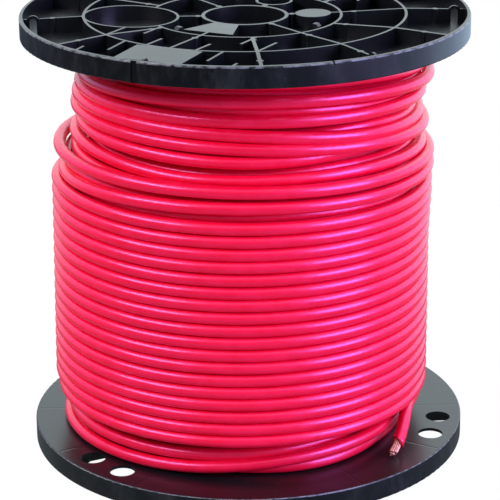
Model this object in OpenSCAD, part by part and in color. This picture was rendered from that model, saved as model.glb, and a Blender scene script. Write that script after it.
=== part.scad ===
// Wire spool: two ribbed, injection-moulded flanges snapped onto a barrel, with an arbor tube
// through the middle, full of one length of stranded building wire.
// Millimetres. The origin is on the floor, on the spool's axis, and +Z runs up that axis.
// The flanges are one moulding used twice: the lower one is the upper one turned over.

/* [Flange] */
// Diameter of each flange
flange_d = 285.75; // [270:0.25:300]
// Thickness of each flange at its rim
flange_t = 13.6; // [12:0.1:18]
// Thickness of the flange's flat web
web_t = 2; // [1.6:0.1:3]
// Wall of the rim
rim_wall = 2.3; // [1.8:0.1:4]
// Radius of the rim's outer edges
rim_round = 0.8; // [0.3:0.1:1]
// Diameter of the arbor hole
bore_d = 50.8; // [45:0.2:54]
// Wall of the collar round the arbor hole
hub_wall = 2.3; // [1.8:0.1:3]
// Diameter of the middle stiffening ring, at its centre line
mid_ring_d = 122.3; // [118:0.1:130]
// Diameter of the outer stiffening ring, at its centre line
outer_ring_d = 204.3; // [195:0.1:212]

/* [Ribs] */
// Thickness of the ribs and rings
rib_wall = 1.7; // [1.4:0.1:2]
// Thickness of the ribs that run from the middle ring to the rim
long_rib_wall = 2.2; // [1.4:0.1:2.6]
// Direction of the first main rib
rib_turn = 4; // [0:1:10]
// How far the hub stands below the rim
hub_drop = 3.1; // [2:0.1:4]
// How far the middle ring stands below the rim
mid_drop = 2.7; // [1.5:0.1:4]
// How far the outer ring stands below the rim
outer_drop = 1.4; // [0.5:0.1:3]
// How far the rib ends stand below the rim
end_drop = 2.7; // [1:0.1:4]
// Distance between the parallel stub ribs
stub_pitch = 16.5; // [15:0.1:17]
// Length of a free stub rib
stub_l = 20; // [14:0.5:22]
// Diameter of the small ejector bosses on the ribs
boss_d = 4.2; // [3:0.1:6]

/* [Flange features] */
// Diameter of the large blind collar
recess_d = 61.7; // [54:0.1:64]
// Distance of the large collar from the axis
recess_at = 72.5; // [70:0.5:73]
// Diameter of the round pad
disc_d = 22.8; // [18:0.1:24]
// Distance of the round pad and the small collar from the axis
disc_at = 43.5; // [42:0.5:45]
// Diameter of the small blind collar
pin_collar_d = 24.2; // [20:0.1:26]
// Width of the outer plain pad
pad_w = 44; // [36:0.5:50]
// Width of a tie-down eye
eye_w = 8; // [6.6:0.1:9]
// Width of the hole in a tie-down eye
eye_hole = 4.4; // [3:0.1:5]
// Width of the upright groove in the rim
groove_w = 4; // [2:0.1:6]
// Depth of the upright groove in the rim
groove_depth = 0.8; // [0.4:0.1:1.2]
// Depth of the small nick in the rim's edge
nick_depth = 2.4; // [1:0.1:4]

/* [Tie-off holes] */
// Diameter of the holes that the wire end is threaded through
tie_hole_d = 16.2; // [12:0.1:18]
// Distance of the tie-off holes from the axis
tie_hole_at = 127.9; // [124:0.1:129]
// Angle between the two holes of a pair
tie_hole_step = 12.5; // [11:0.1:13]

/* [Barrel] */
// Distance between the two flanges
traverse = 259.9; // [240:0.1:300]
// Outer diameter of the barrel
barrel_d = 101.6; // [96:0.1:104]
// Wall of the barrel
barrel_wall = 3.2; // [2.8:0.1:4]
// Wall of the arbor tube
tube_wall = 3; // [2:0.1:4]
// Width of a snap hook's head
hook_w = 4.6; // [4:0.1:8]
// Height of a snap hook's catch above the flange's web
hook_rise = 5; // [3:0.1:5.5]
// Height of the spigots that centre the barrel and the tube
spigot_h = 5; // [3:0.1:8]
// Wall of the spigots
spigot_wall = 2; // [1.6:0.1:2.4]
// Fitting clearance between two rigid pieces
fit_gap = 0.2; // [0.1:0.05:0.4]

/* [Wire] */
// Diameter over the wire's jacket
wire_d = 8.1; // [7.6:0.01:8.2]
// Rise of each turn in the outer layer
wire_pitch = 8.16; // [8.13:0.01:8.2]
// Diameter of the outer layer, at the wire's centre line
outer_layer_d = 237.4; // [230:0.1:240]
// Number of turns in the outer layer
outer_turns = 20; // [16:1:20]
// Height of the lowest outer turn, at the front
outer_start_z = 41.8; // [41:0.1:42.5]
// How far the outer layer leans to one side
coil_lean = 3.6; // [0:0.1:4.5]
// Extra rise of the loose turns at the top of the outer layer
loose_rise = 6.8; // [0:0.1:8]
// How much nearer the axis the upper turns lie than the outer layer
upper_inset = 10.9; // [10.5:0.1:13]
// How far the upper turns lean to the other side
upper_lean = 2; // [0:0.1:3]
// Number of upper turns
upper_turn_count = 7; // [5:1:7]
// How much nearer the axis the turns at the lower flange lie than the outer layer
bottom_inset = 8.7; // [8:0.1:12]
// Number of turns at the lower flange
bottom_turn_count = 1.8; // [1.2:0.1:1.8]
// Space left between the wire and its neighbours
wire_gap = 0.3; // [0.2:0.05:0.4]
// Direction of the wire's tail, where it runs straight to its cut end
cut_angle = -34.5; // [-40:0.5:-30]
// How far the wire stands out from the outer layer there
cut_out = 1; // [-1:0.1:3]
// Height of that place
cut_z = 26; // [25:0.5:29]
// Length of bare copper at the cut end
bare_l = 13; // [6:0.5:14]
// Diameter of one copper strand
strand_d = 1.15; // [0.9:0.01:1.15]

/* [Hidden] */

plastic = [0.06, 0.065, 0.07];
plastic_inner = [0.12, 0.13, 0.14];
wire_red = [0.93, 0.07, 0.2];
copper = [0.8, 0.45, 0.28];

flange_r = flange_d / 2;
rim_in = flange_r - rim_wall;
bore_r = bore_d / 2;
hub_r = bore_r + hub_wall;
mid_r = mid_ring_d / 2;
ring_r = outer_ring_d / 2;
winding_bottom = flange_t;
winding_top = flange_t + traverse;
cut_through = 1;

// The lower flange is turned over about X and then turned by this much.
lower_turn = rib_turn + 270;

main_ribs = 6;
rib_step = 360 / main_ribs;
label_turn = rib_turn + 240;
recess_turn = rib_turn + 180;
pin_turn = rib_turn + 60;
window_turn = rib_turn + 90;
tie_turns = [rib_turn + 45, rib_turn + 285];
groove_turn = rib_turn + 239;
nick_turn = rib_turn + 287;
nick_w = 1.2;
hook_count = 3;
hook_step = 360 / hook_count;
rib_lap = rim_wall / 2;
eye_at = rim_in - 6.6;
eye_drop = 0.3;
boss_at = [hub_r + boss_d / 2, mid_r + 2 * boss_d, eye_at - eye_w - boss_d];
pad_inner_w = 17;
pad_wide_w = 34;
pad_clear = 9;

barrel_r = barrel_d / 2;
barrel_in = barrel_r - barrel_wall;
hook_t = barrel_wall - 4 * fit_gap;
hook_in = barrel_in + 2 * fit_gap;
catch_l = 1.6;
stem_w = hook_w - 1.2;
head_h = 2.6;
window_w = hook_w + 4 * fit_gap;
window_in = hook_in - catch_l - fit_gap;
window_out = barrel_r;
keeper_t = 2;

wire_r = wire_d / 2;
outer_r = outer_layer_d / 2;
upper_r = outer_r - upper_inset;
bottom_r = outer_r - bottom_inset;
seat = wire_r + wire_gap;

strand_gap = 0.05;
strand_step = 1.5;

loop_rings = 24;
ring_step = 360 / loop_rings;
tail_rings = 5;
tube_sides = 6;
circle_fn = 96;
strand_fn = 16;

// The radius of a plain core that turns of a given radius lie on, between the rings' corners.
function core_r(r) = r * cos(ring_step / 2) - seat;

function smooth(x) = let (s = min(1, max(0, x))) s * s * (3 - 2 * s);
function mix(a, b, s) = a + (b - a) * s;
function unit(v) = v / norm(v);

// ---- flange -------------------------------------------------------------------------------

module ring_plan(r, wall) {
    difference() {
        circle(r = r + wall / 2, $fn = circle_fn);
        circle(r = r - wall / 2, $fn = circle_fn);
    }
}

// A straight rib in plan, from one distance to another along its own direction.
module rib_plan(turn, from, to, wall, offset_v = 0) {
    rotate(turn)
        translate([from, offset_v - wall / 2])
            square([to - from, wall]);
}

// The parallel stub ribs on one side of the flange, laid out square to one of its main ribs.
// outside: there are also stubs between the outer ring and the rim.
module stub_plan(turn, outside) {
    root = rib_wall / 2;
    inner_l = 1.15 * stub_l;
    far_l = 1.35 * stub_l;
    outer_l = 1.1 * stub_l;
    rim_l = 0.8 * stub_l;
    far_pitch = 3.1 * stub_pitch;
    for (side = [-1, 1]) {
        near = stub_pitch * side;
        middle = 2 * stub_pitch * side;
        far = far_pitch * side;
        mid_foot = sqrt(mid_r * mid_r - middle * middle) - root;
        ring_near = sqrt(ring_r * ring_r - near * near) + root / 2;
        ring_middle = sqrt(ring_r * ring_r - middle * middle) - root / 2;
        ring_far = sqrt(ring_r * ring_r - far * far) + root / 2;
        rim_near = sqrt(rim_in * rim_in - near * near) + root;
        rim_far = sqrt(rim_in * rim_in - far * far) + root;
        rib_plan(turn, mid_foot, mid_foot + inner_l, rib_wall, middle);
        rib_plan(turn, ring_near - stub_l, ring_near, rib_wall, near);
        rib_plan(turn, ring_far - far_l, ring_far, rib_wall, far);
        if (outside) {
            rib_plan(turn, ring_middle, ring_middle + outer_l, rib_wall, middle);
            rib_plan(turn, rim_near - rim_l, rim_near, rib_wall, near);
            rib_plan(turn, rim_far - rim_l, rim_far, rib_wall, far);
        }
    }
}

// Everything that stands on the web inside the rim, in plan.
module web_plan() {
    difference() {
        union() {
            ring_plan(mid_r, rib_wall);
            for (i = [0 : main_ribs - 1]) {
                turn = rib_turn + i * rib_step;
                rib_plan(turn, bore_r + hub_wall / 2, eye_at - eye_w / 2, rib_wall);
                rib_plan(turn, eye_at + eye_w / 2, rim_in + rib_lap, rib_wall);
                rib_plan(turn + rib_step / 2, mid_r, rim_in + rib_lap, long_rib_wall);
            }
            stub_plan(label_turn, true);
            stub_plan(label_turn + 180, false);
        }
        rotate(recess_turn)
            translate([recess_at, 0])
                circle(d = recess_d - rib_wall, $fn = circle_fn);
        rotate(pin_turn)
            translate([disc_at, 0])
                circle(d = pin_collar_d - rib_wall, $fn = circle_fn);
    }
    ring_plan(ring_r, rib_wall);
    translate([recess_at * cos(recess_turn), recess_at * sin(recess_turn)])
        ring_plan(recess_d / 2 - rib_wall / 2, rib_wall);
    translate([disc_at * cos(pin_turn), disc_at * sin(pin_turn)])
        ring_plan(pin_collar_d / 2 - rib_wall / 2, rib_wall);
    translate([disc_at * cos(rib_turn), disc_at * sin(rib_turn)])
        circle(d = disc_d, $fn = circle_fn);
    boss_plan();
    pad_plan();
}

// Small round bosses for the ejector pins, centred on the ribs. The large collar takes one's place.
module boss_plan() {
    for (i = [0 : main_ribs - 1], at = boss_at)
        if (rib_turn + i * rib_step != recess_turn || at != boss_at[1])
            rotate(rib_turn + i * rib_step)
                translate([at, 0])
                    circle(d = boss_d, $fn = circle_fn);
    for (i = [0 : main_ribs - 1], at = [boss_at[1], boss_at[2]])
        rotate(rib_turn + (i + 0.5) * rib_step)
            translate([at, 0])
                circle(d = boss_d, $fn = circle_fn);
}

// Two plain pads on the label side: a tapered one at the hub and a broad one outside the outer ring.
module pad_plan() {
    rotate(label_turn) {
        polygon([[bore_r + hub_wall / 2, -pad_inner_w / 2], [mid_r - pad_clear, -pad_wide_w / 2],
            [mid_r - pad_clear, pad_wide_w / 2], [bore_r + hub_wall / 2, pad_inner_w / 2]]);
        translate([ring_r, -pad_w / 2])
            square([rim_in - ring_r - pad_clear, pad_w]);
    }
}

// The tops of the ribs and rings dip from the rim towards the hub.
module rib_envelope() {
    rotate_extrude($fn = circle_fn)
        polygon([[0, 0], [rim_in + rib_lap, 0], [rim_in + rib_lap, flange_t - end_drop],
            [ring_r + rib_wall, flange_t - outer_drop], [ring_r - rib_wall, flange_t - outer_drop],
            [mid_r, flange_t - mid_drop], [hub_r, flange_t - hub_drop], [0, flange_t - hub_drop]]);
}

// A square corner less the round that stays, for rounding an edge of a revolved profile.
module corner(r) {
    difference() {
        square(r + cut_through);
        circle(r = r, $fn = circle_fn);
    }
}

// Web, rim and hub collar, with the spigots that centre the barrel and the arbor tube.
module flange_disc() {
    rotate_extrude($fn = circle_fn) {
        difference() {
            translate([bore_r, 0])
                square([flange_r - bore_r, flange_t]);
            translate([hub_r, web_t])
                square([rim_in - hub_r, flange_t]);
            translate([0, flange_t - hub_drop])
                square([hub_r + cut_through, flange_t]);
            translate([flange_r - rim_round, flange_t - rim_round])
                corner(rim_round);
            translate([flange_r - rim_round, rim_round])
                mirror([0, 1])
                    corner(rim_round);
        }
        translate([bore_r + tube_wall + fit_gap, -spigot_h])
            square([spigot_wall, spigot_h + web_t / 2]);
        translate([barrel_in - fit_gap - spigot_wall, -spigot_h])
            square([spigot_wall, spigot_h + web_t / 2]);
    }
}

// An upright eye in line with a main rib, for a cable tie.
module tie_eye() {
    eye_top = flange_t - eye_drop;
    hole_top = eye_top - (eye_w - eye_hole) / 2;
    translate([eye_at, rib_wall / 2, 0])
        rotate([90, 0, 0])
            linear_extrude(rib_wall)
                difference() {
                    union() {
                        translate([-eye_w / 2, web_t / 2])
                            square([eye_w, eye_top - eye_w / 2 - web_t / 2]);
                        translate([0, eye_top - eye_w / 2])
                            circle(d = eye_w, $fn = circle_fn);
                    }
                    translate([-eye_hole / 2, web_t])
                        square([eye_hole, hole_top - eye_hole / 2 - web_t]);
                    translate([0, hole_top - eye_hole / 2])
                        circle(d = eye_hole, $fn = circle_fn);
                }
}

// The ledge that a snap hook catches on, beside its window.
module keeper() {
    translate([window_out, -hook_w / 2, web_t / 2])
        cube([keeper_t, hook_w, hook_rise + web_t / 2]);
}

// One flange, lying with its winding face down on z = 0 and its ribs up.
module flange() {
    difference() {
        union() {
            flange_disc();
            intersection() {
                translate([0, 0, web_t / 2])
                    linear_extrude(flange_t)
                        web_plan();
                rib_envelope();
            }
            for (i = [0 : main_ribs - 1])
                rotate(rib_turn + i * rib_step)
                    tie_eye();
            for (i = [0 : hook_count - 1])
                rotate(window_turn + i * hook_step)
                    keeper();
        }
        for (turn = tie_turns, side = [-0.5, 0.5])
            rotate(turn + side * tie_hole_step)
                translate([tie_hole_at, 0, -cut_through])
                    cylinder(d = tie_hole_d, h = web_t + 2 * cut_through, $fn = circle_fn);
        rotate(groove_turn)
            translate([flange_r - groove_depth, -groove_w / 2, -cut_through])
                cube([2 * groove_depth, groove_w, flange_t + 2 * cut_through]);
        rotate(nick_turn)
            translate([rim_in - cut_through, -nick_w / 2, flange_t - nick_depth])
                cube([rim_wall + 2 * cut_through, nick_w, 2 * nick_depth]);
        for (i = [0 : hook_count - 1])
            rotate(window_turn + i * hook_step)
                translate([window_in, -window_w / 2, -cut_through])
                    cube([window_out - window_in, window_w, flange_t]);
    }
}

module top_flange() {
    color(plastic)
        translate([0, 0, winding_top])
            flange();
}

module bottom_flange() {
    color(plastic)
        translate([0, 0, winding_bottom])
            rotate([0, 0, lower_turn])
                rotate([180, 0, 0])
                    flange();
}

// ---- barrel and arbor tube ----------------------------------------------------------------

// A snap hook rising from the end of the barrel's wall, with its head turned outwards.
module snap_hook() {
    stem_h = web_t + hook_rise + fit_gap;
    translate([hook_in, -stem_w / 2, -head_h])
        cube([hook_t, stem_w, stem_h + head_h + head_h / 2]);
    translate([hook_in, hook_w / 2, stem_h])
        rotate([90, 0, 0])
            linear_extrude(hook_w)
                polygon([[0, 0], [hook_t + catch_l, 0], [hook_t + catch_l, head_h / 3],
                    [hook_t, head_h], [0, head_h]]);
}

module hook_ring() {
    for (i = [0 : hook_count - 1])
        rotate(window_turn + i * hook_step)
            snap_hook();
}

module barrel() {
    color(plastic_inner) {
        difference() {
            translate([0, 0, winding_bottom])
                cylinder(r = barrel_r, h = traverse, $fn = circle_fn);
            translate([0, 0, winding_bottom - cut_through])
                cylinder(r = barrel_in, h = traverse + 2 * cut_through, $fn = circle_fn);
        }
        translate([0, 0, winding_top])
            hook_ring();
        translate([0, 0, winding_bottom])
            rotate([0, 0, lower_turn])
                rotate([180, 0, 0])
                    hook_ring();
    }
}

module arbor_tube() {
    color(plastic_inner)
        translate([0, 0, winding_bottom])
            difference() {
                cylinder(r = bore_r + tube_wall, h = traverse, $fn = circle_fn);
                translate([0, 0, -cut_through])
                    cylinder(r = bore_r, h = traverse + 2 * cut_through, $fn = circle_fn);
            }
}

// ---- wire ---------------------------------------------------------------------------------

// Rings of points round a path. Each ring lies in the plane square to the path there, with its
// first point facing away from the spool's axis.
function path_tangent(path, i) =
    unit(path[min(i + 1, len(path) - 1)] - path[max(i - 1, 0)]);
function ring_points(path, i, r) =
    let (t = path_tangent(path, i))
    let (out = unit([path[i][0], path[i][1], 0]))
    let (u = unit(out - t * (out * t)))
    let (v = cross(t, u))
    [for (k = [0 : tube_sides - 1])
        path[i] + r * (cos(k * 360 / tube_sides) * u + sin(k * 360 / tube_sides) * v)];

module tube_along(path, r) {
    rings = len(path);
    points = [for (i = [0 : rings - 1]) each ring_points(path, i, r)];
    sides = [for (i = [0 : rings - 2], k = [0 : tube_sides - 1], half = [0, 1])
        let (a = i * tube_sides + k)
        let (b = i * tube_sides + (k + 1) % tube_sides)
        half == 0 ? [a, b, b + tube_sides] : [a, b + tube_sides, a + tube_sides]];
    last = (rings - 1) * tube_sides;
    ends = [for (k = [1 : tube_sides - 2], end = [0, 1])
        end == 0 ? [0, k + 1, k] : [last, last + k, last + k + 1]];
    polyhedron(points = points, faces = concat(sides, ends), convexity = 10);
}

// A path with one more point past its start or its end, so that the wire runs straight there.
function straight_start(path) =
    concat([path[0] - wire_d * unit(path[1] - path[0])], path);
function straight_end(path) =
    let (n = len(path))
    concat(path, [path[n - 1] + wire_d * unit(path[n - 1] - path[n - 2])]);

// Least distance between the surfaces of two turns, over the rings' own points.
function least_gap(path, r) =
    let (rings = [for (i = [0 : len(path) - 1]) ring_points(path, i, r)])
    min([for (i = [0 : len(path) - 1], j = [i + loop_rings - 4 : min(len(path) - 1, i + loop_rings + 4)],
        p = rings[i], q = rings[j]) norm(p - q)]);

// A point at an angle seen from the front, a radius and a height, leaning aside by a share.
function coil_point(a, r, z, lean) = [r * cos(a - 90) - lean, r * sin(a - 90), z];

// The outer layer: a tail, the outer turns, and a step down to the upper turns at the back.
// The tail leaves the lowest turn and dips outwards to the cut end.
cut_a = cut_angle + 90 - 360;
tail_l = 14;
settle_a = cut_a + tail_l;
cut_at = outer_r + cut_out;
loose_a = (outer_turns - 3) * 360;
loose_l = 540;
step_a = (outer_turns - 1) * 360 + 90;
step_l = 90;
fall_lag = 45;
join_a = step_a + step_l + fall_lag;
step_fall = 4.2;
function helix_z(a) =
    outer_start_z + wire_pitch * a / 360 + loose_rise * smooth((a - loose_a) / loose_l);
join_z = helix_z(join_a) - step_fall;
upper_z = join_z - seat;
function settled(a) = let (s = min(1, (a - cut_a) / (settle_a - cut_a))) 1 - (1 - s) * (1 - s);
function stepped(a) = smooth((a - step_a) / step_l);
function fallen(a) = smooth((a - step_a - fall_lag) / step_l);
function outer_z(a) = mix(cut_z, helix_z(a), settled(a)) - step_fall * fallen(a);
function outer_radius(a) = mix(mix(cut_at, outer_r, settled(a)), upper_r, stepped(a));
function outer_lean(a) = coil_lean * settled(a) * (1 - stepped(a));
function outer_point(a) = coil_point(a, outer_radius(a), outer_z(a), outer_lean(a));
outer_rings = round((join_a - settle_a) / ring_step);

// The upper turns carry on from the outer layer's end, to the upper flange. The two tubes' straight
// ends are the two halves of one chord, so that their end faces meet. The first turn rises more than
// the rest, to clear the end of the outer layer.
upper_end_z = winding_top - seat;
first_lift = 3;
chord_angle = 2 * asin(wire_d / upper_r);
upper_rings = upper_turn_count * loop_rings;
function upper_point(t) =
    coil_point(join_a + chord_angle + t * 360, upper_r,
        mix(join_z + first_lift * smooth(t), upper_end_z, t / upper_turn_count),
        -upper_lean * smooth(t - 0.5));
upper_start = upper_point(0);
join_point = (outer_point(join_a) + upper_start) / 2;

outer_path = straight_start(concat(
    [for (i = [0 : tail_rings - 1]) outer_point(cut_a + i * (settle_a - cut_a) / tail_rings)],
    [for (i = [0 : outer_rings]) outer_point(mix(settle_a, join_a, i / outer_rings))],
    [join_point]));
upper_path = straight_end(concat([join_point],
    [for (i = [0 : upper_rings]) upper_point(i / loop_rings)]));

// The turns at the lower flange lie further in. The first runs round on the flange, then climbs over
// its own start at the front and goes round again.
bottom_turn = 35;
climb_a = 335;
climb_l = 60;
bottom_rise = wire_d + 1.5 * wire_gap;
bottom_rings = round(bottom_turn_count * loop_rings);
bottom_path = straight_start(straight_end([for (i = [0 : bottom_rings])
    let (a = bottom_turn + i * ring_step)
    coil_point(a, bottom_r, winding_bottom + seat + bottom_rise * smooth((a - climb_a) / climb_l),
        coil_lean)]));

echo(least_gap_outer = least_gap(outer_path, wire_r));
echo(least_gap_upper = least_gap(upper_path, wire_r));
echo(least_gap_step = least_gap(concat(
    [for (i = [len(outer_path) - loop_rings - 8 : len(outer_path) - 2]) outer_path[i]],
    [for (i = [0 : loop_rings + 8]) upper_path[i]]), wire_r));
echo(least_gap_bottom = least_gap(bottom_path, wire_r));

// Where a wire end carries on under the layer: a bend that starts at the end's face and sinks
// into the packed wire. side: 1 for a path's last end, -1 for its first.
dive_r = 45;
dive_turn = 100;
dive_fn = 32;

module dive(path, side) {
    n = len(path) - 1;
    tip = side > 0 ? path[n] : path[0];
    back = side > 0 ? path[n - 1] : path[1];
    way = unit([tip[0] - back[0], tip[1] - back[1], 0]);
    heading = atan2(way[1], way[0]);
    translate(tip + wire_gap * way + side * dive_r * [-way[1], way[0], 0])
        rotate([0, 0, side > 0 ? heading - 90 : heading + 90 - dive_turn])
            rotate_extrude(angle = dive_turn, $fn = circle_fn)
                translate([dive_r, 0])
                    circle(r = wire_r - wire_gap / 2, $fn = dive_fn);
}

// The layers under the turns that show, as one packed mass.
module inner_layers() {
    outer_core_z = winding_bottom + 2 * seat + bottom_rise;
    color(wire_red)
        difference() {
            union() {
                translate([-coil_lean, 0, winding_bottom + wire_gap])
                    cylinder(r = core_r(bottom_r), h = outer_core_z - winding_bottom, $fn = circle_fn);
                translate([-coil_lean, 0, outer_core_z])
                    cylinder(r = core_r(outer_r), h = upper_z - outer_core_z, $fn = circle_fn);
                translate([upper_lean / 2, 0, upper_z - cut_through])
                    cylinder(r = core_r(upper_r) - upper_lean / 2,
                        h = winding_top - wire_gap - upper_z + cut_through, $fn = circle_fn);
                dive(upper_path, 1);
                dive(bottom_path, 1);
                dive(bottom_path, -1);
            }
            translate([0, 0, winding_bottom])
                cylinder(r = barrel_r + wire_gap, h = traverse, $fn = circle_fn);
        }
}

module outer_layer() {
    color(wire_red)
        tube_along(outer_path, wire_r);
}

module upper_turns() {
    color(wire_red)
        tube_along(upper_path, wire_r);
}

module bottom_turns() {
    color(wire_red)
        tube_along(bottom_path, wire_r);
}

// Nineteen strands, one in the middle and two rings round it, standing out of the cut end.
module copper_strands() {
    tip = outer_path[0];
    way = unit(outer_path[0] - outer_path[1]);
    lay = strand_d + strand_gap;
    color(copper)
        translate(tip)
            rotate([0, acos(way[2]), atan2(way[1], way[0])])
                for (ring = [0 : 2], k = [0 : max(0, 6 * ring - 1)])
                    rotate([0, 0, k * 60 / max(1, ring)])
                        translate([ring * lay, 0, 0])
                            cylinder(d = strand_d, h = bare_l - ring * strand_step, $fn = strand_fn);
}

top_flange();
bottom_flange();
barrel();
arbor_tube();
inner_layers();
bottom_turns();
outer_layer();
upper_turns();
copper_strands();
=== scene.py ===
# %% [markdown]
# # A spool of building wire
# A moulded plastic reel carries one long piece of jacketed copper wire. The spool is five pieces: two
# ribbed flanges, a barrel, an arbor tube, and the wire. The reel's shapes are right as they come from the
# construction model, so they stay and only get a finish. The wire is made again here, because a real
# winding is never a perfect helix: some turns lie loose, some have slipped into the layer below.

import math

import bmesh
import bpy
import numpy as np
from mathutils import Matrix, Vector


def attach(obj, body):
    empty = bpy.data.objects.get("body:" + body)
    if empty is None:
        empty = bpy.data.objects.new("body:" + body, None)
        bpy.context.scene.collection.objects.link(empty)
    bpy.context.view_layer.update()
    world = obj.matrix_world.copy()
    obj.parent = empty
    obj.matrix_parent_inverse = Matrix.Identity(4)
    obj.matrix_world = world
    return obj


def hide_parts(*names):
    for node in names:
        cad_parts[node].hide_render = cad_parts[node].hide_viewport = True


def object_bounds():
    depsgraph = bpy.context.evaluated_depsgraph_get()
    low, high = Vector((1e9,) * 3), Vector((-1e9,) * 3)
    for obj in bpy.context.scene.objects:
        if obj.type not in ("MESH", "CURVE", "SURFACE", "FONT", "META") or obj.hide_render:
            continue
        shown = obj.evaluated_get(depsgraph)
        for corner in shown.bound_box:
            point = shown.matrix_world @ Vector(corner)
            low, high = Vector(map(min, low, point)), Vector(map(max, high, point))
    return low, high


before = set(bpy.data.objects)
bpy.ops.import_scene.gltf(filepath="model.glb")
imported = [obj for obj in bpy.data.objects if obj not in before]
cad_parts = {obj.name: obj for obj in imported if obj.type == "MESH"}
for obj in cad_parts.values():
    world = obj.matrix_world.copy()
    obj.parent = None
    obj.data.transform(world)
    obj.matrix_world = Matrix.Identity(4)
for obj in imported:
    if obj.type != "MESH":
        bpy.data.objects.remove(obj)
reel_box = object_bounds()
MM = 0.001
bpy.context.scene.view_settings.view_transform = "Standard"
print("nodes:", sorted(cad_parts), "box:", reel_box)

# %% [markdown]
# ## The camera
# A long lens from almost five reel widths away keeps the two flanges almost equally wide, the way such
# goods are shown. The camera looks down by nineteen degrees, far enough to see into the ribs of the upper
# flange. It could be aimed at a target, but three turns say exactly where it looks and how it is tilted.

# %% Place the camera
EYE = Vector((0, -1.3282, 0.5939))
PAN, DOWN, ROLL = 0.0015, 0.3389, 0.0082
SENSOR = 36
LENS = 153.7992
look = (
    Matrix.Rotation(-PAN, 3, "Z")
    @ Matrix.Rotation(math.pi / 2 - DOWN, 3, "X")
    @ Matrix.Rotation(-ROLL, 3, "Z")
)
lens = bpy.data.cameras.new("camera")
lens.lens = LENS
lens.sensor_width = SENSOR
lens.clip_start = 0.1
lens.clip_end = 30
camera = bpy.data.objects.new("camera", lens)
camera.matrix_world = Matrix.LocRotScale(EYE, look.to_quaternion(), None)
bpy.context.scene.collection.objects.link(camera)
bpy.context.scene.camera = camera
print("lens", round(LENS, 1), "mm, looking down", round(math.degrees(DOWN), 1), "degrees")

# %% [markdown]
# ## Shader sums written as sums
# A finish is worked out by small nodes that add, multiply and compare. Wiring each by hand hides the
# idea, so a small class wraps a socket: `a * 2 + b` then adds the Math nodes by itself. Any other node
# comes from `Finish.node`, which takes its settings first and then what goes into its sockets.


# %% A socket that can be added and multiplied
class Value:
    """One output of a shader node."""

    def __init__(self, finish, socket):
        self.finish = finish
        self.socket = socket

    def math(self, operation, *others):
        return self.finish.arithmetic(operation, self, *others)

    def __add__(self, other):
        return self.math("ADD", other)

    def __sub__(self, other):
        return self.math("SUBTRACT", other)

    def __rsub__(self, other):
        return self.finish.arithmetic("SUBTRACT", other, self)

    def __mul__(self, other):
        return self.math("MULTIPLY", other)

    def __truediv__(self, other):
        return self.math("DIVIDE", other)

    __radd__ = __add__

    def between(self, low, high):
        """0 below low, 1 above high, and a smooth climb from one to the other."""
        return self.finish.node(
            "ShaderNodeMapRange",
            {"interpolation_type": "SMOOTHSTEP"},
            {"Value": self, "From Min": low, "From Max": high},
        )

    def near(self, target, within):
        """1 where the value is less than a distance from the target, and 0 elsewhere."""
        return (self - target).math("ABSOLUTE").math("LESS_THAN", within)


class Finish:
    """A material, or the world, whose nodes are written as expressions."""

    def __init__(self, name, tree=None):
        if tree is None:
            self.material = bpy.data.materials.new(name)
            self.material.use_nodes = True
            tree = self.material.node_tree
        tree.nodes.clear()
        self.tree = tree

    def node(self, kind, settings=None, inputs=None, output=0):
        made = self.tree.nodes.new(kind)
        for key, value in (settings or {}).items():
            setattr(made, key, value)
        for key, value in (inputs or {}).items():
            if isinstance(value, Value):
                self.tree.links.new(value.socket, made.inputs[key])
            else:
                made.inputs[key].default_value = value
        return Value(self, made.outputs[output]) if made.outputs else None

    def arithmetic(self, operation, *terms):
        return self.node("ShaderNodeMath", {"operation": operation}, dict(enumerate(terms)))

    def place(self):
        """Where a point lies on the object, in metres."""
        return self.node("ShaderNodeTexCoord", output="Object")

    def parts(self, vector):
        """The three parts of a vector, such as a place's x, y and z."""
        split = self.node("ShaderNodeSeparateXYZ", {}, {"Vector": vector}).socket.node
        return [Value(self, socket) for socket in split.outputs]

    def ray(self, kind):
        """1 for rays of one kind, such as those that come straight from the camera."""
        return self.node("ShaderNodeLightPath", output=kind)

    def noise(self, where, scale, detail=3.0, roughness=0.5):
        return self.node(
            "ShaderNodeTexNoise",
            {},
            {"Vector": where, "Scale": scale, "Detail": detail, "Roughness": roughness},
        )

    def stretched(self, where, scale):
        return self.node("ShaderNodeMapping", {}, {"Vector": where, "Scale": scale})

    def mix(self, share, first, second):
        """One colour passing into another."""
        return self.node("ShaderNodeMix", {"data_type": "RGBA"}, {0: share, 6: first, 7: second}, output=2)

    def blend(self, share, first, second):
        """One shader passing into another."""
        return self.node("ShaderNodeMixShader", {}, {0: share, 1: first, 2: second})

    def bump(self, height, distance, strength):
        return self.node(
            "ShaderNodeBump", {}, {"Height": height, "Distance": distance, "Strength": strength}
        )

    def skin(self, **sockets):
        """The surface itself. Keyword names are the shader's socket names with _ for a space."""
        inputs = {key.replace("_", " "): value for key, value in sockets.items()}
        shader = self.node("ShaderNodeBsdfPrincipled", {}, inputs)
        self.node("ShaderNodeOutputMaterial", {}, {"Surface": shader})
        return self.material


print("shader sums ready")
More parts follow.
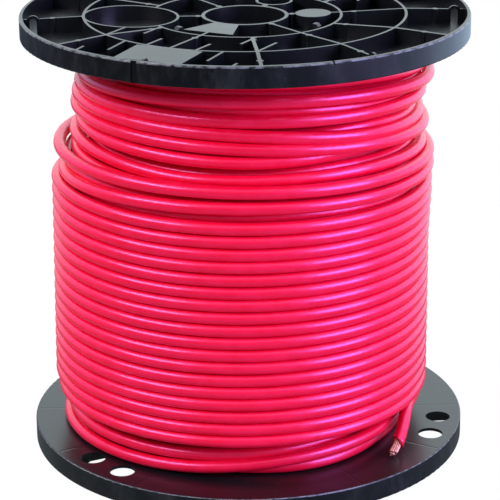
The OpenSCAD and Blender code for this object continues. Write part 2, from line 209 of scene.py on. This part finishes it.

# %% [markdown]
# ## Light and ground
# Goods like this are lit inside a white tent, here twice as bright behind as at the camera's side. A wide
# strip lamp hangs high on the left, and a large, cooler panel stands lower on the right. Shiny goods also
# need something to mirror. Dark cards round the camera keep the plastic black, and the bright back of the
# tent turns it grey where it is seen at a low angle. So the world has one brightness for the light that
# falls on things, one for what they mirror, and plain white for what the camera sees behind them. The
# first two follow the direction that they come from, so there are no walls or cards to build.
#
# The ground is plain and pale too. Seen straight, most of it is a glow, so only a faint shadow is left.
# In a mirror it is a dimmer glowing sheet, with painted shade under and in front of the spool, and
# brightest at the back.

# %% The world
WHITE = (1, 1, 1, 1)
COLD_WHITE = (0.94, 1, 1, 1)
MIRRORED_AHEAD = (0.84, 0.96, 1, 1)
MIRRORED_ASIDE = (0.84, 0.70, 1.25, 1)
MIRRORED_LOW = (0.55, 0.76, 1, 1)
LIT_FRONT, LIT_BACK, LIT_TOP = 0.46, 0.5, 0.2
MIRROR_FRONT, MIRROR_BACK, MIRROR_TOP, MIRROR_RIGHT = 0.12, 1.3, 1.1, 0.4
LOW_LEFT_DARK = 0.95
world = bpy.data.worlds.new("tent")
world.use_nodes = True
bpy.context.scene.world = world
tent = Finish("tent", world.node_tree)
aside, depth, rise = tent.parts(tent.node("ShaderNodeTexCoord", output="Generated"))
behind = depth.between(-0.35, 0.5)
beside = aside.math("ABSOLUTE").between(0.35, 0.95)
low = 1 - rise.between(-0.25, -0.02)
low_left = low * (1 - aside.between(-0.45, 0.5))
lit = (behind * LIT_BACK + LIT_FRONT) * (1 + rise.between(0.45, 0.95) * LIT_TOP)
mirrored = behind * MIRROR_BACK + rise.between(0.3, 0.85) * MIRROR_TOP + MIRROR_FRONT
mirrored = mirrored * (1 + aside * MIRROR_RIGHT) * (1 - low_left * LOW_LEFT_DARK)
mirrored_tone = tent.mix(beside, MIRRORED_AHEAD, MIRRORED_ASIDE)
mirrored_tone = tent.mix(low, mirrored_tone, MIRRORED_LOW)
walls = tent.node("ShaderNodeBackground", {}, {"Color": COLD_WHITE, "Strength": lit})
sheen = tent.node("ShaderNodeBackground", {}, {"Color": mirrored_tone, "Strength": mirrored})
backdrop = tent.node("ShaderNodeBackground", {}, {"Color": WHITE, "Strength": 1.0})
tent_light = tent.blend(tent.ray("Is Glossy Ray"), walls, sheen)
tent_light = tent.blend(tent.ray("Is Camera Ray"), tent_light, backdrop)
tent.node("ShaderNodeOutputWorld", {}, {"Surface": tent_light})
print("the tent's back is", round((LIT_FRONT + LIT_BACK) / LIT_FRONT, 1), "times as bright as its front")

# %% Two soft lamps
REEL_MIDDLE = Vector((0, 0, 0.14))
STRIP = (1.3, 0.32)
PANEL = (0.9, 0.9)


def soft_lamp(name, place, size, power, tone):
    lamp = bpy.data.lights.new(name, "AREA")
    lamp.color = tone
    lamp.shape = "RECTANGLE"
    lamp.size, lamp.size_y = size
    lamp.energy = power
    holder = bpy.data.objects.new(name, lamp)
    aim = (REEL_MIDDLE - Vector(place)).to_track_quat("-Z", "Y")
    holder.matrix_world = Matrix.LocRotScale(Vector(place), aim, None)
    holder.visible_camera = False
    bpy.context.scene.collection.objects.link(holder)


soft_lamp("lamp_left", (-1.3, -0.75, 1.3), STRIP, 24, (1, 0.88, 1))
soft_lamp("lamp_right", (1.3, -0.72, 0.62), PANEL, 33, (0.54, 0.48, 1))
print("a strip high on the left and a panel lower on the right")

# %% The ground
GROUND_R = 0.75
GROUND_DROP = 0.5 * MM
PAPER_GREY = (0.5, 0.5, 0.5, 1)
SHEET_BLUE = (0.8, 0.95, 1, 1)
GLOW_SHARE = 0.93
ground_mesh = bmesh.new()
bmesh.ops.create_circle(ground_mesh, cap_ends=True, radius=GROUND_R, segments=96)
ground_data = bpy.data.meshes.new("ground")
ground_mesh.to_mesh(ground_data)
ground_mesh.free()
ground_data.transform(Matrix.Translation((0, 0, -GROUND_DROP)))
ground = bpy.data.objects.new("ground", ground_data)
bpy.context.scene.collection.objects.link(ground)
pale = Finish("pale_ground")
paper = pale.node("ShaderNodeBsdfPrincipled", {}, {"Base Color": PAPER_GREY, "Roughness": 0.9})
glow = pale.node("ShaderNodeEmission", {}, {"Color": WHITE, "Strength": 1.04})
back_half = pale.parts(pale.place())[1].between(0.1, 0.6)
# painted shade: in mirrors the ground is a glowing sheet, dim under and in front of the spool and
# brightest at the back
painted_shade_sheet = pale.node("ShaderNodeEmission", {}, {"Color": SHEET_BLUE, "Strength": back_half * 0.7 + 0.2})
seen = pale.blend(pale.ray("Is Camera Ray") * GLOW_SHARE, paper, glow)
seen = pale.blend(pale.ray("Is Glossy Ray"), seen, painted_shade_sheet)
pale.node("ShaderNodeOutputMaterial", {}, {"Surface": seen})
ground_data.materials.append(pale.material)
print("ground", 2 * GROUND_R, "m across")

# %% [markdown]
# ## The black plastic
# The flanges are moulded from tough, cheap, mostly recycled plastic. Straight from the mould it is a
# satin black with faint streaks, where the melt flowed out from the hub, and a fine grain. Where a rib
# stands behind the smooth winding face, the plastic shrank as it cooled and left a faint line. The rims
# are rubbed pale by rolling, and handling leaves a little dust. Along the rims' upper edges, broken pale
# lines are a painted highlight for the glint of their rounded edges. Black shows little colour, so the
# streaks are in the roughness more than in the colour: they change how sharply the plastic mirrors the
# tent.


# %% Sink lines, rubbed rims and a painted edge highlight
WINDING_FACE = 13.6 * MM
TOP_EDGE = reel_box[1][2] - 0.5 * MM
FLANGE_R = reel_box[1][0]
RIM_DEPTH = 0.475 * MM
SINK_EVERY = math.radians(30)


def sink_lines(x, y, z, radius):
    """Lines on the lower flange's winding face, from under the wire to just inside the rim."""
    off_line = y.math("ARCTAN2", x).math("PINGPONG", SINK_EVERY / 2) * radius
    line = 1 - off_line.between(0.2 * MM, 1.1 * MM)
    stretch = radius.between(108 * MM, 112 * MM) * (1 - radius.between(139 * MM, 141.5 * MM))
    return line * z.near(WINDING_FACE, 0.4 * MM) * stretch


def rim_rub_and_edge_highlight(finish, at, z, radius):
    """A painted highlight in broken pale lines along the rims' upper edges, and a fainter rub from wear
    over the rims.
    """
    edge = z.near(WINDING_FACE, 0.5 * MM).math("MAXIMUM", z.near(TOP_EDGE, 0.8 * MM))
    # painted highlight: broken pale lines along the rims' upper edges, for the glint of their rounded
    # edges
    painted_edge_highlight = edge * finish.noise(at, 160, 4, 0.7).between(0.35, 0.6)
    rub = finish.noise(finish.stretched(at, (1, 1, 0.4)), 55, 6, 0.75).between(0.42, 0.72) * 0.11
    return radius.near(FLANGE_R, RIM_DEPTH) * painted_edge_highlight.math("MAXIMUM", rub)


print("lines every", round(math.degrees(SINK_EVERY)), "degrees")

# %% Moulded plastic
DUST = (0.16, 0.16, 0.155, 1)
RUB_AND_EDGE_HIGHLIGHT = (0.15, 0.17, 0.18, 1)


def moulded(name, tone, gloss, dust):
    finish = Finish(name)
    at = finish.place()
    x, y, z = finish.parts(at)
    radius = (x * x + y * y).math("SQRT")
    flow = finish.noise(finish.stretched(at, (1, 1, 0.35)), 26, 5, 0.62)
    grain = finish.noise(at, 1500, 2)
    specks = finish.noise(at, 420, 4, 0.7).between(0.62, 0.74)
    dusty = specks * finish.noise(at, 34, 3).between(0.45, 0.75) * dust
    darker, paler = ((*[part * share for part in tone], 1) for share in (0.85, 1.2))
    base = finish.mix(flow.between(0.3, 0.7), darker, paler)
    base = finish.mix(dusty, base, DUST)
    # the rims' real rub together with the painted edge highlight
    base = finish.mix(rim_rub_and_edge_highlight(finish, at, z, radius), base, RUB_AND_EDGE_HIGHLIGHT)
    height = grain * 0.5 + flow * 2 - sink_lines(x, y, z, radius) * 6
    return finish.skin(
        Base_Color=base,
        Roughness=gloss + (flow - 0.5) * 0.16 + dusty * 0.3,
        IOR=1.5,
        Normal=finish.bump(height, 0.06 * MM, 0.5),
    )


black_plastic = moulded("moulded_black", (0.004, 0.0055, 0.007), 0.3, 0.35)
tube_plastic = moulded("extruded_black", (0.007, 0.008, 0.009), 0.4, 0.3)
for name, finish in {
    "top_flange": black_plastic,
    "bottom_flange": black_plastic,
    "barrel": tube_plastic,
    "arbor_tube": tube_plastic,
}.items():
    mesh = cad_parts[name].data
    mesh.materials.clear()
    mesh.materials.append(finish)
print("plastic on the reel's four pieces")

# %% [markdown]
# ## The wire's jacket
# The insulation is red, under a thin skin of clear nylon that gives a hard gloss. The highlights on it
# are pink rather than white, so what it mirrors is given a tint. The twelve outer strands press faintly
# through, as a slow spiral, and the nylon has small dull patches where it was handled. The spiral has to
# run along the wire however it bends, so it reads the wire's own map: metres along the wire, and once
# round it.


# %% Nylon jacket
WIRE_D = 8.1 * MM
OUTER_STRANDS = 12
STRAND_LAY = 75 * MM
DEEP_RED = (0.84, 0.0015, 0.028, 1)
CLEAR_RED = (0.90, 0.004, 0.044, 1)
PINK_MIRROR = (1, 0.34, 1, 1)


def jacket_finish():
    finish = Finish("red_nylon")
    along, round_it, _ = finish.parts(finish.node("ShaderNodeUVMap", {"uv_map": "UVMap"}))
    strands = ((along / STRAND_LAY + round_it) * (math.tau * OUTER_STRANDS)).math("SINE")
    mottle = finish.noise(finish.place(), 95, 4, 0.6)
    fine = finish.noise(finish.place(), 620, 3, 0.6)
    scuffs = finish.noise(finish.stretched(finish.place(), (1, 1, 3)), 240, 4, 0.7).between(0.6, 0.75)
    height = strands * 0.06 + mottle * 1.6 + fine * 0.25
    return finish.skin(
        Base_Color=finish.mix(mottle.between(0.3, 0.7), DEEP_RED, CLEAR_RED),
        Roughness=0.31 + (mottle - 0.5) * 0.14 + scuffs * 0.14,
        IOR=1.5,
        Specular_IOR_Level=1.0,
        Specular_Tint=PINK_MIRROR,
        Coat_Weight=0.15,
        Coat_Roughness=0.16,
        Normal=finish.bump(height, 0.22 * MM, 0.5),
    )


red_nylon = jacket_finish()
print("jacket", WIRE_D / MM, "mm thick")

# %% [markdown]
# ## How the wire lies
# A turn is given by a few knots: how far round it is, in degrees from the front, its distance from the
# axis, its height and how far its middle is off the axis. Between the knots the wire can't bend sharply,
# because it is stiff, so the route is rounded off by averaging it over some forty degrees. That is
# simpler than a spline, and like real wire it never overshoots. The winding isn't quite round either: it
# stands out a little on the right near the top and on the left near the bottom, as one laid in a hurry.


# %% From knots to a route
STEP = 3.3
# Heights between which a bulge grows or fades, and how far the winding stands out at each.
RIGHT_HEIGHTS, RIGHT_BULGES = (143, 195), (0, 2.7)
LEFT_HEIGHTS, LEFT_BULGES = (45, 165), (1.8, 0)


def knots_from(start, aside, table, base=0):
    """Knots whose angles count from a start and whose heights count from a base."""
    return [(start + turn, radius, base + height, aside) for turn, radius, height in table]


def rounded(values, window):
    """A running average. Past each end the values carry on as their own mirror image, turned over."""
    pad = window // 2
    before = 2 * values[0] - values[pad:0:-1]
    after = 2 * values[-1] - values[-2 : -pad - 2 : -1]
    return np.convolve(np.concatenate([before, values, after]), np.ones(window) / window, "valid")


def wander(angles):
    """Two slow waves of a tenth of a millimetre, which don't fall in step."""
    return 0.10 * np.sin(np.radians(angles * 0.73)) + 0.08 * np.sin(np.radians(angles * 2.37 + 40))


def route(knots, window=9, step=STEP):
    """Points of the wire's centre line through knots of (angle, radius, height, aside), in millimetres."""
    table = np.array(knots, dtype=float)
    angles = np.arange(table[0, 0], table[-1, 0], step)
    radius, height, aside = (
        rounded(rounded(np.interp(angles, table[:, 0], table[:, i]), window), window) for i in (1, 2, 3)
    )
    turn = np.radians(angles - 90)
    rightward, leftward = np.clip(np.cos(turn), 0, None) ** 2, np.clip(-np.cos(turn), 0, None) ** 2
    radius = radius + np.interp(height, RIGHT_HEIGHTS, RIGHT_BULGES) * rightward
    radius = radius + np.interp(height, LEFT_HEIGHTS, LEFT_BULGES) * leftward
    drift = wander(angles)
    return np.stack(
        [radius * np.cos(turn) + aside, (radius + drift) * np.sin(turn), height + drift], axis=1
    )


print("a route has a point every", STEP, "degrees")

# %% [markdown]
# ## From a route to a wire
# The tube is a curve with a round bevel, made into a mesh, which keeps its thickness whichever way the
# route turns. Its map comes with the curve, from 0 to 1, and is stretched so that it counts metres.


# %% From a route to a tube
def length_of(points):
    """How long a line through points in millimetres is, in metres."""
    return float(np.linalg.norm(np.diff(points * MM, axis=0), axis=1).sum())


def tube(name, points, thickness, sides):
    """A mesh round a centre line given in millimetres, with a map of metres along and once round."""
    curve = bpy.data.curves.new(name, "CURVE")
    curve.dimensions = "3D"
    curve.twist_mode = "Z_UP"
    curve.bevel_depth = thickness / 2
    curve.bevel_resolution = sides // 2 - 2
    curve.use_fill_caps = True
    spline = curve.splines.new("POLY")
    spline.points.add(len(points) - 1)
    for point, place in zip(spline.points, points * MM):
        point.co = (*place, 1)
    draft = bpy.data.objects.new(name + "_draft", curve)
    mesh = bpy.data.meshes.new_from_object(draft)
    bpy.data.objects.remove(draft)
    bpy.data.curves.remove(curve)
    mesh.name = name
    length = length_of(points)
    for loop in mesh.uv_layers[0].data:
        loop.uv.x *= length
    joined = bmesh.new()
    joined.from_mesh(mesh)
    bmesh.ops.remove_doubles(joined, verts=joined.verts, dist=1e-6)
    joined.to_mesh(mesh)
    joined.free()
    mesh.shade_smooth()
    return mesh


def dressed(name, mesh, finish, node):
    """A piece of the spool, which takes the place of one of the construction model's nodes."""
    mesh.materials.clear()
    mesh.materials.append(finish)
    piece = bpy.data.objects.new(name, mesh)
    bpy.context.scene.collection.objects.link(piece)
    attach(piece, "root")
    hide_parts(node)
    return piece


def wire(name, points, node, sides=16):
    mesh = tube(name, points, WIRE_D, sides)
    print(name, len(mesh.polygons), "faces,", round(length_of(points), 2), "m of wire")
    return dressed(name, mesh, red_nylon, node)


# %% [markdown]
# ## The outer layer
# The last layer was laid from the top of the spool down to the bottom, where the free end leaves it and
# drops to the flange. Its eighteen lower turns lie tight and even. At the front they run almost level,
# held in the grooves of the layer below, and each crosses over to the next groove at the back. The two
# turns above them have worked loose.

# %% Knots of the outer layer
OUTER_R = 118.7
LEAN = -3.6
EVEN_TURNS = 18
PITCH = 8.165
LOWEST = 41.8
OUTER_START = -180


def even_turn(k):
    """The knots of one tight turn. The higher it is, the more it slopes down to the right."""
    slope = -0.007 - 0.023 * (k / (EVEN_TURNS - 1)) ** 2
    level = [(turn, OUTER_R, slope * turn) for turn in (-70, 0, 70)]
    return knots_from(360 * k, LEAN, level, LOWEST + PITCH * k)


tail_knots = [
    (-309.0, 122.6, 19.6, 0),
    (-307.4, 121.8, 21.8, 0),
    (-304.3, 119.8, 25.2, 0),
    (-301.6, 117.9, 28.6, 0),
    (-298.5, 115.8, 32.0, 0),
    (-294, 112.8, 33.6, 0),
    (-285, 112.4, 34.0, 0),
    (-270, 115.2, 34.2, LEAN),
    (-240, 117.6, 35.8, LEAN),
    (OUTER_START, OUTER_R, 38.2, LEAN),
]
outer_knots = [tail_knots[-1], (-100, 114.8, 41.6, LEAN)]
for k in range(EVEN_TURNS):
    outer_knots += even_turn(k)
LOOSE_START = 360 * EVEN_TURNS
outer_knots += knots_from(
    LOOSE_START,
    LEAN,
    [
        (-90, 112.8, 188.6),
        (-66, 115.5, 190.4),
        (-45, 117.8, 193.2),
        (0, OUTER_R, 193.9),
        (45, OUTER_R, 190.8),
        (90, OUTER_R, 189.0),
        (180, 117.0, 196.0),
        (245, 116.2, 204.0),
        (270, 116.2, 205.0),
        (315, 118.4, 205.2),
        (360, OUTER_R, 203.6),
        (405, OUTER_R, 200.4),
        (450, 118.4, 197.6),
    ],
)
print(len(outer_knots), "knots,", EVEN_TURNS + 2, "turns")

# %% [markdown]
# ## The loose upper turns
# Above the last layer the wire carries on one layer deeper, up to the flange. These seven turns have been
# pulled about: they fall away to the right, and where two stand apart the layer below shows through.

# %% Knots of the upper turns
UPPER_START = LOOSE_START + 720
STEP_DOWN = UPPER_START - 225
SIDE = 2.0
upper_knots = [
    (STEP_DOWN, 117.0, 199.5, LEAN),
    (UPPER_START - 180, 113.5, 203.5, -1.5),
    (UPPER_START - 135, 112.0, 209.0, 0.5),
]
upper_knots += knots_from(
    UPPER_START,
    SIDE,
    [
        (-90, 111.6, 213.2),
        (-50, 109.8, 211.0),
        (-25, 108.6, 206.6),
        (0, 108.6, 207.4),
        (45, 108.6, 207.8),
        (70, 107.8, 205.0),
        (90, 107.4, 203.4),
        (180, 107.0, 212.0),
        (270, 107.0, 221.6),
        (315, 108.6, 221.2),
        (360, 108.4, 218.2),
        (378, 106.0, 218.4),
        (400, 101.0, 219.6),
        (450, 100.0, 216.0),
        (540, 104.0, 224.0),
        (625, 110.8, 231.6),
        (675, 109.2, 230.0),
        (720, 108.6, 227.6),
        (760, 108.8, 222.4),
        (795, 109.0, 217.4),
        (810, 109.2, 216.4),
        (900, 108.4, 226.0),
        (985, 109.4, 238.4),
        (1035, 108.6, 238.2),
        (1080, 108.6, 236.4),
        (1118, 107.6, 229.0),
        (1150, 105.4, 225.0),
        (1170, 105.4, 224.0),
        (1260, 106.6, 235.0),
        (1345, 107.2, 245.6),
        (1395, 108.2, 245.6),
        (1440, 108.4, 244.4),
        (1485, 107.8, 242.0),
        (1530, 106.9, 238.2),
        (1620, 106.6, 245.0),
        (1710, 104.8, 250.6),
        (1755, 107.0, 254.4),
        (1800, 107.8, 256.4),
        (1840, 109.2, 254.6),
        (1890, 112.8, 247.4),
        (1980, 107.0, 256.0),
        (2070, 104.4, 262.0),
        (2115, 105.4, 266.0),
        (2160, 105.8, 267.6),
        (2205, 106.0, 263.6),
        (2240, 107.0, 255.6),
        (2255, 107.0, 255.0),
        (2300, 104.0, 264.0),
    ],
)
upper_knots.append((UPPER_START + 2340, 99.0, 268.6, 0))
print(len(upper_knots), "knots")

# %% Both pieces from one route
tail = route(tail_knots, window=5, step=1.1)
whole = np.concatenate([tail, route(outer_knots + upper_knots)])
split = len(tail) + int((STEP_DOWN - OUTER_START) / STEP)
outer_layer = wire("outer_turns", whole[: split + 1], "outer_layer")
wire("loose_turns", whole[split:], "upper_turns")

# %% [markdown]
# ## The cut through the jacket
# The wire was cut off at a slant, and the jacket's thickness shows round the hollow that its strands lie
# in. The end could be modelled as a separate ring, but cutting the tube with a tilted plane is simpler
# and leaves one closed mesh. The new face is then inset twice, the second time inwards, which gives the
# jacket's wall and the hollow. Three directions at the tip, out along the wire, to its side and up, place
# the plane, and the strands after it.

# %% Cut the jacket
CUT_BACK = 2.0
SLANT_SIDE, SLANT_UP = 0.7, 0.15
JACKET_WALL = 1.0
HOLLOW, TAPER = 3.0, 0.05
TIP_REACH = 9.0
tip = whole[0]
out = (tip - whole[2]) / np.linalg.norm(tip - whole[2])
side = np.cross(out, (0, 0, 1))
side /= np.linalg.norm(side)
up = np.cross(side, out)
sleeve = bmesh.new()
sleeve.from_mesh(outer_layer.data)
at_tip = [v for v in sleeve.verts if (v.co - Vector(tip * MM)).length < TIP_REACH * MM]
bmesh.ops.bisect_plane(
    sleeve,
    geom=list(dict.fromkeys(part for v in at_tip for part in (v, *v.link_edges, *v.link_faces))),
    plane_co=Vector((tip - CUT_BACK * out) * MM),
    plane_no=Vector(out + SLANT_SIDE * side + SLANT_UP * up).normalized(),
    clear_outer=True,
)
cut_edges = [e for e in sleeve.edges if e.is_boundary]
cut_face = bmesh.ops.contextual_create(sleeve, geom=cut_edges)["faces"]
bmesh.ops.inset_region(sleeve, faces=cut_face, thickness=JACKET_WALL * MM, depth=0)
bmesh.ops.inset_region(sleeve, faces=cut_face, thickness=TAPER * MM, depth=-HOLLOW * MM)
sleeve.to_mesh(outer_layer.data)
sleeve.free()
print("the jacket is cut at a slant,", len(cut_edges), "edges round the cut")

# %% [markdown]
# ## The turns on the lower flange
# The layer under the outer one ends in two turns that lie on the flange itself. The first comes up from
# below, runs once round on the plastic, then climbs over its own start and goes round again.

# %% Lower turns
CLEARANCE = 0.15
FLOOR = (WINDING_FACE + WIRE_D / 2) / MM + CLEARANCE
lower_knots = knots_from(
    0,
    LEAN,
    [
        (-40, 97.5, 1.0),
        (-5, 102.0, 0),
        (22, 110.6, 0),
        (42, 106.4, 0),
        (60, 102.4, 0),
        (90, 101.4, 0),
        (180, 109.0, 0),
        (245, 114.0, 0),
        (285, 114.0, 0),
        (318, 111.6, 0),
        (342, 111.0, 0.8),
        (366, 110.8, 5.4),
        (385, 110.6, 7.6),
        (405, 109.8, 8.3),
        (450, 107.6, 8.6),
        (540, 109.0, 8.6),
        (630, 111.2, 9.2),
        (680, 111.0, 9.6),
        (715, 108.4, 10.0),
        (745, 103.0, 11.0),
        (775, 99.5, 12.0),
    ],
    FLOOR,
)
wire("lower_turns", route(lower_knots), "bottom_turns")

# %% [markdown]
# ## The layers underneath
# Only slivers of these show, in the gaps between the turns above. They could be a plain red drum, but
# real turns are no more work with the same route and tube, and any gap then has something true behind it.
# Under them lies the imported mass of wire, which never shows, so that is one plain revolved core.


# %% Two layers of inner turns
SECOND_R = 110.9
SECOND_TURNS = 18
SECOND_PITCH = 8.2
SECOND_TOP = 178.0
second_knots = knots_from(
    0,
    LEAN,
    [
        (-150, 101.0, 206.5),
        (-110, 103.0, 205.4),
        (-84, 105.0, 204.6),
        (-55, 109.0, 203.2),
        (-20, 109.8, 200.6),
        (90, 110.0, 198.0),
        (250, 110.8, 197.6),
        (305, SECOND_R, 196.2),
        (340, 110.4, 193.0),
        (450, 110.4, 190.6),
        (640, 110.6, 187.0),
        (707, SECOND_R, 185.2),
        (738, SECOND_R, 185.6),
        (768, SECOND_R, 182.6),
        (788, 110.4, 179.4),
    ],
)
for k in range(SECOND_TURNS):
    second_knots.append((810 + 360 * k, SECOND_R, SECOND_TOP - SECOND_PITCH * k, LEAN))
third_knots = knots_from(
    0,
    SIDE,
    [
        (-330, 98.0, 268.6),
        (0, 100.2, 268.0),
        (360, 100.2, 260.0),
        (415, 102.0, 252.6),
        (450, 104.2, 248.6),
        (490, 101.4, 251.0),
        (690, 101.0, 250.6),
        (720, 102.4, 249.0),
        (750, 102.4, 247.2),
        (772, 101.6, 243.4),
        (810, 102.4, 238.8),
        (860, 101.0, 239.6),
        (1060, 100.0, 239.0),
        (1098, 99.0, 231.4),
        (1112, 101.0, 232.4),
        (1128, 102.0, 232.2),
        (1150, 101.0, 227.6),
        (1440, 100.2, 228.6),
        (1800, 100.2, 220.4),
        (2100, 100.2, 210.0),
        (2140, 100.4, 208.0),
        (2174, 100.4, 208.6),
        (2190, 100.4, 209.6),
        (2215, 100.2, 207.6),
        (2520, 100.2, 200.0),
        (2880, 100.2, 191.8),
    ],
)
for name, knots in {"second_layer": second_knots, "third_layer": third_knots}.items():
    wire(name, route(knots, window=5), "inner_layers", sides=12)


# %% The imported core
CORE_INNER, CORE_OUTER, CORE_NECK = 51.2, 102.8, 99
CORE_FOOT, CORE_SHOULDER, CORE_TOP = 14, 196, 273
SHOULDER_RISE = 4


def revolved(name, outline, segments=96):
    """A closed outline of (radius, height) in millimetres, spun once round the axis."""
    turned = bmesh.new()
    corners = [turned.verts.new((radius * MM, 0, height * MM)) for radius, height in outline]
    edges = [turned.edges.new(pair) for pair in zip(corners, corners[1:] + corners[:1])]
    bmesh.ops.spin(
        turned,
        geom=corners + edges,
        cent=(0, 0, 0),
        axis=(0, 0, 1),
        angle=math.tau,
        steps=segments,
        use_merge=True,
    )
    bmesh.ops.recalc_face_normals(turned, faces=turned.faces)
    mesh = bpy.data.meshes.new(name)
    turned.to_mesh(mesh)
    turned.free()
    mesh.shade_smooth()
    return mesh


core_outline = [
    (CORE_INNER, CORE_FOOT),
    (CORE_OUTER, CORE_FOOT),
    (CORE_OUTER, CORE_SHOULDER),
    (CORE_NECK, CORE_SHOULDER + SHOULDER_RISE),
    (CORE_NECK, CORE_TOP),
    (CORE_INNER, CORE_TOP),
]
core = revolved("packed_wire", core_outline)
dressed("packed_wire", core, red_nylon, "inner_layers")
print("packed core", len(core.polygons), "faces")

# %% [markdown]
# ## The bare strands
# Nineteen bare copper strands stand out of the jacket, one in the middle, six round it and twelve round
# those, with a slight twist. They are the same tubes as the wire, only thinner, and all of them bend a
# little to one side, as the cutter left them. Freshly cut copper is bright and pinkish, and it darkens
# in small patches as it ages.


# %% Copper
BRIGHT_COPPER = (0.80, 0.42, 0.33, 1)
DARK_COPPER = (0.42, 0.17, 0.12, 1)


def copper_finish():
    finish = Finish("bare_copper")
    tarnish = finish.noise(finish.place(), 900, 3, 0.6)
    return finish.skin(
        Base_Color=finish.mix(tarnish.between(0.35, 0.75), BRIGHT_COPPER, DARK_COPPER),
        Metallic=1.0,
        Roughness=0.34 + tarnish * 0.2,
        Normal=finish.bump(tarnish, 0.05 * MM, 0.4),
    )


bare_copper = copper_finish()
print("copper ready")

# %% Nineteen strands
STRAND_D = 1.04
STRAND_GAP = 0.03
BARE = 9.0
RING_BACK = 1.1
UNEVEN = 0.5
ROOT = -5.4
TWIST = 0.035
FAN = 0.006
BEND = 0.024
BEND_WAY = (1, 0.2, 0)


def strand_line(ring, k, count):
    """The centre line of one strand of a ring, from its root in the jacket to its uneven end."""
    reach = BARE - ring * RING_BACK - UNEVEN * math.sin(5.1 * k + ring)
    steps = np.linspace(ROOT, reach, 14)
    outside = np.maximum(steps, 0)
    turn = math.tau * k / count + TWIST * steps
    spread = ring * (STRAND_D + STRAND_GAP) * (1 + FAN * outside)
    return (
        tip
        + np.outer(steps, out)
        + np.outer(spread * np.cos(turn), side)
        + np.outer(spread * np.sin(turn), up)
        - np.outer(BEND * outside**2, BEND_WAY)
    )


bundle = bmesh.new()
for ring, count in enumerate((1, 6, 12)):
    for k in range(count):
        strand = tube("strand", strand_line(ring, k, count), STRAND_D * MM, 12)
        bundle.from_mesh(strand)
        bpy.data.meshes.remove(strand)
strand_mesh = bpy.data.meshes.new("strands")
bundle.to_mesh(strand_mesh)
bundle.free()
strand_mesh.shade_smooth()
dressed("strands", strand_mesh, bare_copper, "copper_strands")
print("strands", len(strand_mesh.polygons), "faces")

# %% [markdown]
# ## The end

# %% The end
print("the spool is complete")
